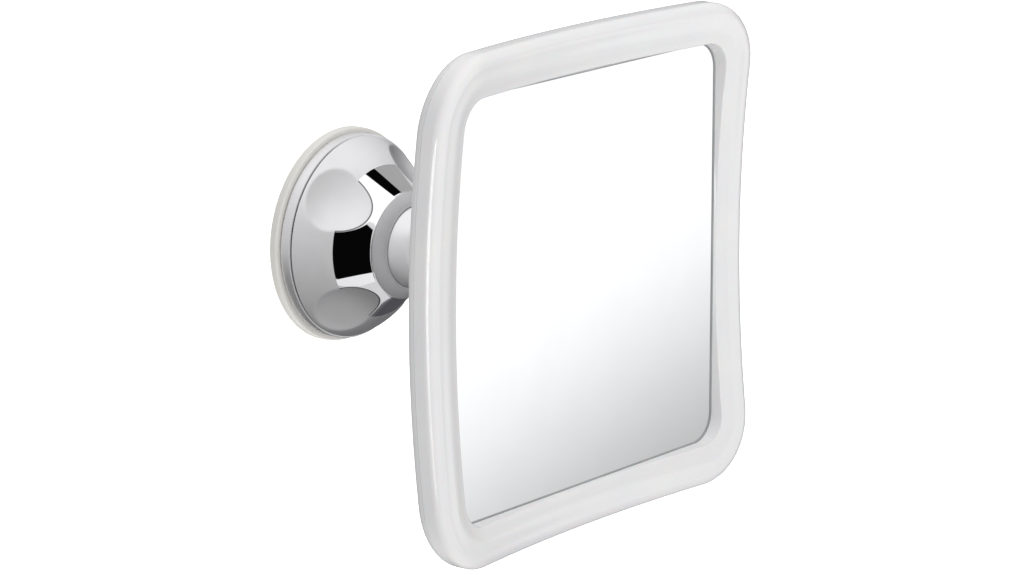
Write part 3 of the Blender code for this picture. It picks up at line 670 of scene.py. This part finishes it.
def make_gasket():
    """The rubber ring under the flange, pressed so that its edge swells out."""
    middle, swell = (gasket_low + gasket_high) / 2, (gasket_high - gasket_low) / 2
    profile = [(gasket_inner, gasket_low)]
    profile += arc((gasket_swell_start, middle), swell, -right_angle, right_angle, steps=8)
    profile.append((gasket_inner, gasket_high))
    finished(turned("pressed_gasket", profile), "mirror_head", "neck_gasket",
             rubber)


# The base.


def make_collar():
    """The ring over the ball. Its thin flange laps the bell's top and clears it."""
    lip = math.asin((collar_front - ball_center) / bore_radius)
    socket = arc((0, ball_center), bore_radius, lip, 0, steps=16)
    face = socket[0][0] + collar_lip_wall
    edge = (collar_flange_radius - collar_flange_edge, collar_flange_low + collar_flange_edge)
    profile = [(collar_inner, collar_foot), (collar_outer, collar_foot),
               (collar_outer, collar_flange_low)]
    profile += arc(edge, collar_flange_edge, -right_angle, collar_edge_turn, steps=8)
    profile += bulged(profile[-1], (face, collar_front - collar_lip_start), collar_crown,
                      steps=12)
    profile += [(face - inwards, collar_front - below) for inwards, below in collar_lip_points]
    profile += socket
    profile += [(bore_radius, collar_socket_foot), (collar_inner, collar_socket_foot)]
    finished(turned("collar_ring", profile), "base", "socket_collar",
             collar_metal)


def flank(height):
    """The radius of the bell's outside, without its bulge or scoops."""
    if height < knob_crease_height:
        share = (height - knob_rim) / (knob_crease_height - knob_rim)
        return knob_rim_radius + (knob_crease_radius - knob_rim_radius) * share
    share = (height - knob_crease_height) / (knob_neck_height - knob_crease_height)
    return knob_crease_radius + (knob_neck_radius - knob_crease_radius) * share


def make_scoops():
    """For each scoop, its centre and the directions of its three half lengths."""
    drop = knob_neck_height - knob_crease_height
    slope = math.atan2(drop, knob_crease_radius - knob_neck_radius)
    stand = scoop_half[2] - scoop_depth
    radius = knob_crease_radius + scoop_drop * math.cos(slope) + stand * math.sin(slope)
    height = knob_crease_height - scoop_drop * math.sin(slope) + stand * math.cos(slope)
    places = []
    for k in range(scoop_count):
        turn = Matrix.Rotation(scoop_first_angle + full_turn * k / scoop_count, 3, "Z")
        pitch = turn @ Matrix.Rotation(slope + scoop_tilt, 3, "Y")
        places.append((turn @ Vector((radius, 0, height)), pitch.transposed()))
    return places


def scoop_distance(point, place):
    """About how far a point is outside a scoop's egg; less than 0 inside it."""
    center, turn = place
    local = turn @ (point - center)
    share = Vector((local[k] / scoop_half[k] for k in range(3)))
    slope = Vector((share[k] / scoop_half[k] for k in range(3)))
    return (share.length - 1) * share.length / max(slope.length, tiny)


def sunk(point, normal, places):
    """The point moved in along its normal to the floor of the nearest scoop, its edge eased."""
    place = min(places, key=lambda p: (p[0] - point).length)
    if scoop_distance(point, place) > scoop_edge:
        return point

    def above(depth):
        near, far = -depth, -scoop_distance(point - normal * depth, place)
        soft = max(scoop_edge - abs(near - far), 0) / scoop_edge
        return max(near, far) + soft ** 2 * scoop_edge / 4

    low, high = 0.0, scoop_deepest
    for _ in range(scoop_halvings):
        middle = (low + high) / 2
        if above(middle) > 0:
            low = middle
        else:
            high = middle
    return point - normal * high


def make_knob():
    """The bell. Its flank is a fine net that sinks into the four finger scoops."""
    rim = (knob_rim_radius, knob_rim + knob_rim_bevel)
    crease = (knob_crease_radius, knob_crease_height)
    neck = (knob_neck_radius, knob_neck_height)
    skin = [rim] + bulged(rim, crease, knob_dome_bulge, knob_dome_rows) + [crease]
    skin += bulged(crease, neck, -knob_neck_sag, knob_neck_rows) + [neck]
    places = make_scoops()
    rings, outside = [], []
    for k, (radius, height) in enumerate(skin):
        before, after = skin[max(k - 1, 0)], skin[min(k + 1, len(skin) - 1)]
        along = Vector((after[0] - before[0], after[1] - before[1])).normalized()
        scooped = knob_rim_rows < k < len(skin) - 1
        ring = []
        for step in range(knob_steps):
            a = full_turn * step / knob_steps
            c, s = math.cos(a), math.sin(a)
            point = Vector((radius * c, radius * s, height))
            normal = Vector((along.y * c, along.y * s, -along.x))
            outside.append(min(scoop_distance(point, place) for place in places))
            ring.append(tuple(sunk(point, normal, places) if scooped else point))
        rings.append(ring)

    start = [(knob_rim_inner, knob_rim), (knob_rim_radius - knob_rim_bevel, knob_rim)]
    end = arc((knob_neck_radius - knob_top_round, knob_neck_height), knob_top_round,
              0, right_angle, steps=8)[1:]
    end += [(knob_bore, knob_bore_top), (knob_bore, knob_ledge_top),
            (knob_ledge_bore, knob_ledge_top), (knob_ledge_bore, knob_ledge_bottom),
            (flank(knob_ledge_bottom) - knob_wall, knob_ledge_bottom),
            (flank(knob_wall_foot) - knob_wall, knob_wall_foot),
            (knob_rim_inner, knob_rim + knob_rim_depth)]
    first = [circle(radius, height, knob_steps) for radius, height in start]
    last = [circle(radius, height, knob_steps) for radius, height in end]
    knob = lofted("lock_bell", first + rings + last)

    # Everywhere but on the flank, the distance outside a scoop is only marked as far.
    marks = knob.data.attributes.new("outside_scoop", "FLOAT", "POINT")
    far = scoop_half[0]
    before = [far] * (len(first) * knob_steps)
    after = [far] * (len(knob.data.vertices) - len(before) - len(outside))
    marks.data.foreach_set("value", before + outside + after)
    finished(knob, "knob", "lock_knob", bell)


def make_trim():
    profile = [(trim_inner, trim_bottom), (trim_radius - trim_foot_bevel, trim_bottom),
               (trim_radius, trim_bottom + trim_foot_bevel)]
    profile += arc((trim_radius - trim_bevel, trim_top - trim_bevel), trim_bevel,
                   0, right_angle, steps=6)
    profile += [(trim_lip_inner, trim_top), (trim_lip_inner, trim_lip_bottom),
                (trim_inner, trim_lip_bottom)]
    finished(turned("trim_band", profile, steps=256), "base", "trim_ring", trim)


def make_disc():
    """The disc's rim stays on the wall, and its middle goes with the stud that draws it off."""
    inner = disc_boss_radius + disc_seam
    profile = [(inner, disc_chamfer), (inner + disc_chamfer, 0)]
    for radius in disc_rings:
        profile += [(radius - disc_ring_half, 0), (radius, disc_ring_depth),
                    (radius + disc_ring_half, 0)]
    profile += [(disc_radius - disc_edge / 2, 0)]
    profile += arc((disc_radius - disc_edge / 2, disc_edge / 2), disc_edge / 2,
                   -right_angle, 0, steps=5)
    profile += arc((disc_radius - disc_edge, disc_thickness - disc_edge), disc_edge,
                   0, right_angle, steps=8)
    profile += [(inner + disc_chamfer, disc_thickness), (inner, disc_thickness - disc_chamfer)]
    finished(turned("wall_disc", profile, steps=256), "base", "suction_disc",
             silicone)
    profile = [(0, 0), (disc_boss_radius - disc_chamfer, 0), (disc_boss_radius, disc_chamfer),
               (disc_boss_radius, disc_boss_top - disc_chamfer),
               (disc_boss_radius - disc_chamfer, disc_boss_top), (stud_hole, disc_boss_top),
               (stud_hole, stud_pocket_roof), (stud_pocket, stud_pocket_roof),
               (stud_pocket, stud_pocket_floor), (0, stud_pocket_floor)]
    finished(turned("disc_middle", profile, steps=96, closed=False), "stud", None,
             silicone)


make_bezel()
make_shell()
make_case_screws()
make_seal()
make_neck()
make_gasket()
make_collar()
make_knob()
make_trim()
make_disc()

# The studio floor. Only the camera sees it.

floor_mesh = bpy.data.meshes.new("floor")
floor_mesh.from_pydata([(-floor_half, -floor_half, floor_level),
                        (floor_half, -floor_half, floor_level),
                        (floor_half, floor_half, floor_level),
                        (-floor_half, floor_half, floor_level)], [], [(0, 1, 2, 3)])
floor = bpy.data.objects.new("floor", floor_mesh)
bpy.context.scene.collection.objects.link(floor)
floor_look = Look("pale_floor").set(Emission_Color=(1, 1, 1, 1), Emission_Strength=0.6)
floor_look.colour(floor_look.blend(floor_look.noise(0.8, detail=2), (0.90, 0.90, 0.90),
                                   (0.92, 0.92, 0.92)))
floor_look.rough(floor_look.noise(3, detail=2), 0.8, 0.9)
floor_mesh.materials.append(floor_look.material)
floor.visible_glossy = False
floor.visible_diffuse = False

# The sky. It has one tone for matte light, one for soft reflections, one with sharp cards for
# polished metal, and plain white for the camera. Sampling of the sky itself is off, because it
# would light every surface without regard to the kind of ray.

world = bpy.data.worlds.new("studio")
bpy.context.scene.world = world
world.use_nodes = True
world.cycles.sampling_method = "NONE"
sky = world.node_tree
sky.nodes.clear()


def sky_node(kind, **inputs):
    node = sky.nodes.new(kind)
    for name, value in inputs.items():
        node.inputs[name.replace("_", " ")].default_value = value
    return node


heading = sky_node("ShaderNodeTexCoord").outputs["Generated"]


def sky_math(operation, first, second):
    """A sum on two values, each a number or an output."""
    node = sky_node("ShaderNodeMath")
    node.operation = operation
    for place, value in enumerate((first, second)):
        if isinstance(value, (int, float)):
            node.inputs[place].default_value = value
        else:
            sky.links.new(value, node.inputs[place])
    return node.outputs["Value"]


def sky_side(normal, start, end):
    """0 to 1 as a direction passes to the normal's side; start and end are angles."""
    dot = sky_node("ShaderNodeVectorMath")
    dot.operation = "DOT_PRODUCT"
    dot.inputs[1].default_value = normal
    sky.links.new(heading, dot.inputs[0])
    fade = sky_node("ShaderNodeMapRange", From_Min=math.sin(math.radians(start)),
                    From_Max=math.sin(math.radians(end)))
    fade.interpolation_type = "SMOOTHSTEP"
    sky.links.new(dot.outputs["Value"], fade.inputs["Value"])
    return fade.outputs["Result"]


def sky_mix(before, mask, colour):
    """What was before where a mask is 0, and a colour where it is 1."""
    mix = sky_node("ShaderNodeMix")
    mix.data_type = "RGBA"
    mix.inputs["B"].default_value = (*colour, 1)
    sky.links.new(mask, mix.inputs["Factor"])
    sky.links.new(before, mix.inputs["A"])
    return mix.outputs["Result"]


def sky_choice(switch, off, on):
    """One tone for the rays that a switch is off for, and another for the rest."""
    mix = sky_node("ShaderNodeMix")
    mix.data_type = "RGBA"
    sky.links.new(switch, mix.inputs["Factor"])
    sky.links.new(off, mix.inputs["A"])
    sky.links.new(on, mix.inputs["B"])
    return mix.outputs["Result"]


def toward(azimuth, elevation):
    """A direction; azimuth 0 is straight out from the wall, and 90 is to the right."""
    a, e = math.radians(azimuth), math.radians(elevation)
    return Vector((math.sin(a) * math.cos(e), -math.cos(a) * math.cos(e), math.sin(e)))


def sky_card(before, corners, soft, colour):
    """A flat card far away, its corners given as azimuth and elevation, turning right."""
    mask = None
    for first, second in zip(corners, corners[1:] + corners[:1]):
        normal = toward(*second).cross(toward(*first)).normalized()
        side = sky_side(normal, -soft / 2, soft / 2)
        mask = side if mask is None else sky_math("MULTIPLY", mask, side)
    return sky_mix(before, mask, colour)


# Soft reflections: brighter with elevation, and darker low down behind the wall and at the lower
# right behind the head.
ramp_tones = ((-90, 0.38), (-60, 0.38), (-30, 0.48), (0, 0.61), (30, 0.74), (45, 0.90),
              (60, 0.98), (90, 0.98))
ramp_tint = (0.995, 0.99, 1)
ramp = sky_node("ShaderNodeValToRGB")
axes = sky_node("ShaderNodeSeparateXYZ")
sky.links.new(heading, axes.inputs[0])
rise = sky_math("ADD", sky_math("MULTIPLY", axes.outputs["Z"], 0.5), 0.5)
sky.links.new(rise, ramp.inputs["Fac"])
stops = ramp.color_ramp.elements
for place, (elevation, grey) in enumerate(ramp_tones):
    share = 0.5 + math.sin(math.radians(elevation)) / 2
    stop = stops[place] if place < 2 else stops.new(share)
    stop.position = share
    stop.color = (*(grey * tint for tint in ramp_tint), 1)
soft_tone = sky_mix(ramp.outputs["Color"], sky_side(toward(180, -45), 30, 60),
                    (0.22, 0.22, 0.22))
soft_tone = sky_mix(soft_tone, sky_side(toward(128.5, -30), 50, 68), (0.08, 0.08, 0.09))

# Polished metal: white above, grey below, and the cards that the bell's lands mirror, which are
# a white one, a black one, a grey one and a black sliver.
land_cards = (
    ([(-84, -44), (-40, -42), (-40, -64), (-84, -66)], 2, (0.95, 0.95, 0.97)),
    ([(-84, 0), (-41, 44), (-44, -44), (-84, -47)], 1, (0.002, 0.002, 0.002)),
    ([(66, 50.5), (115, 48), (118, 15), (66, 25)], 3, (0.42, 0.42, 0.42)),
    ([(38, 56), (80, 67), (110, 45), (66, 50.5)], 1, (0.002, 0.002, 0.002)),
)
land_tone = sky_mix(soft_tone, sky_side(toward(0, 90), 38, 44), (1.25, 1.25, 1.26))
land_tone = sky_mix(land_tone, sky_side(toward(0, -90), 58, 64), (0.74, 0.74, 0.75))
for corners, soft, colour in land_cards:
    land_tone = sky_card(land_tone, corners, soft, colour)

# Soft reflections alone have a dark card on the right.
soft_tone = sky_card(soft_tone, [(64, 8), (150, 8), (150, -50), (64, -50)], 14,
                     (0.12, 0.12, 0.13))
path = sky_node("ShaderNodeLightPath")
tone = sky_choice(path.outputs["Is Singular Ray"], soft_tone, land_tone)

# What the pane shows from the photograph's side: white, falling to grey at its lower right.
pane_sight = Vector((0.7549, -0.6101, -0.2363)).normalized()
view_turn = math.radians(view_azimuth)
pane_right = Vector((math.cos(view_turn), -math.sin(view_turn), 0))
pane_up = pane_sight.cross(pane_right)
fall = (pane_right * 0.586 - pane_up * 0.81).normalized()
near_pane = sky_side(pane_sight, 76, 80)
tone = sky_mix(tone, near_pane, (1.10, 1.10, 1.11))
tone = sky_mix(tone, sky_math("MULTIPLY", near_pane, sky_side(fall, 0.2, 4.0)),
               (0.49, 0.49, 0.495))

# Matte light: more from the front, the left, above and below, and some along the wall from the
# right, which lights the head's back.
matte_level = -0.115
matte_least = 0.12
matte_left = 0.42
matte_front = 0.60
matte_steep = 1.45
matte_below = 0.45
matte_wall = 0.85
along_wall = Vector((0.5, 0.866, 0))
across = sky_math("MULTIPLY", axes.outputs["X"], -matte_left)
ahead = sky_math("MULTIPLY", axes.outputs["Y"], -matte_front)
steepness = sky_math("POWER", sky_math("ABSOLUTE", axes.outputs["Z"], 0), 2)
steep = sky_math("MULTIPLY", steepness, matte_steep)
below = sky_math("MULTIPLY", sky_math("MINIMUM", axes.outputs["Z"], 0), -matte_below)
matte = sky_math("ADD", sky_math("ADD", across, ahead), sky_math("ADD", steep, below))
matte = sky_math("MAXIMUM", sky_math("ADD", matte, matte_level), matte_least)
wall_side = sky_math("MULTIPLY", sky_side(along_wall, 10, 55), matte_wall)
matte_tone = sky_math("ADD", matte, wall_side)
tone = sky_choice(path.outputs["Is Diffuse Ray"], tone, matte_tone)

lit = sky_node("ShaderNodeBackground")
sky.links.new(tone, lit.inputs["Color"])
seen = sky_node("ShaderNodeBackground", Color=(1, 1, 1, 1), Strength=1.1)
pick = sky_node("ShaderNodeMixShader")
sky.links.new(path.outputs["Is Camera Ray"], pick.inputs[0])
sky.links.new(lit.outputs[0], pick.inputs[1])
sky.links.new(seen.outputs[0], pick.inputs[2])
out = sky_node("ShaderNodeOutputWorld")
sky.links.new(pick.outputs[0], out.inputs["Surface"])


def lamp(name, place, power, size, gloss_on=None):
    """A soft light aimed at the head, out of sight, for matte light or one piece's gloss."""
    data = bpy.data.lights.new(name, "AREA")
    data.energy = power
    data.shape = "RECTANGLE"
    data.size, data.size_y = size
    item = bpy.data.objects.new(name, data)
    bpy.context.scene.collection.objects.link(item)
    item.location = place
    item.rotation_mode = "QUATERNION"
    item.rotation_quaternion = (head_middle - Vector(place)).to_track_quat("-Z", "Y")
    item.visible_camera = False
    if gloss_on:
        item.visible_diffuse = False
        lit_pieces = bpy.data.collections.new(name + "_pieces")
        lit_pieces.objects.link(bpy.data.objects[gloss_on])
        item.light_linking.receiver_collection = lit_pieces
    else:
        item.visible_glossy = False


gloss_lamp_distance = 1.2
lamp("key", (-0.05, -0.85, 0.55), power=1.9, size=(0.4, 0.4))
lamp("edge", head_middle + toward(-80, -12) * gloss_lamp_distance, power=0.7,
     size=(0.6, 0.06), gloss_on="frame_front")
lamp("lip", head_middle + toward(62, 26) * gloss_lamp_distance, power=0.06,
     size=(0.3, 0.2), gloss_on="frame_front")

# The camera, at the photograph's angle.

back = toward(view_azimuth, view_elevation)
right = Vector((math.cos(view_turn), math.sin(view_turn), 0))
up = back.cross(right)
lens = bpy.data.cameras.new("camera")
lens.sensor_width = sensor
lens.lens = view_focus / picture_width * sensor
lens.clip_start = 0.05
lens.clip_end = 100
camera = bpy.data.objects.new("camera", lens)
bpy.context.scene.collection.objects.link(camera)
camera.location = head_middle + back * view_distance + right * view_right + up * view_up
camera.rotation_mode = "QUATERNION"
camera.rotation_quaternion = Matrix((right, up, back)).transposed().to_quaternion()
bpy.context.scene.camera = camera
bpy.context.scene.view_settings.view_transform = "Standard"
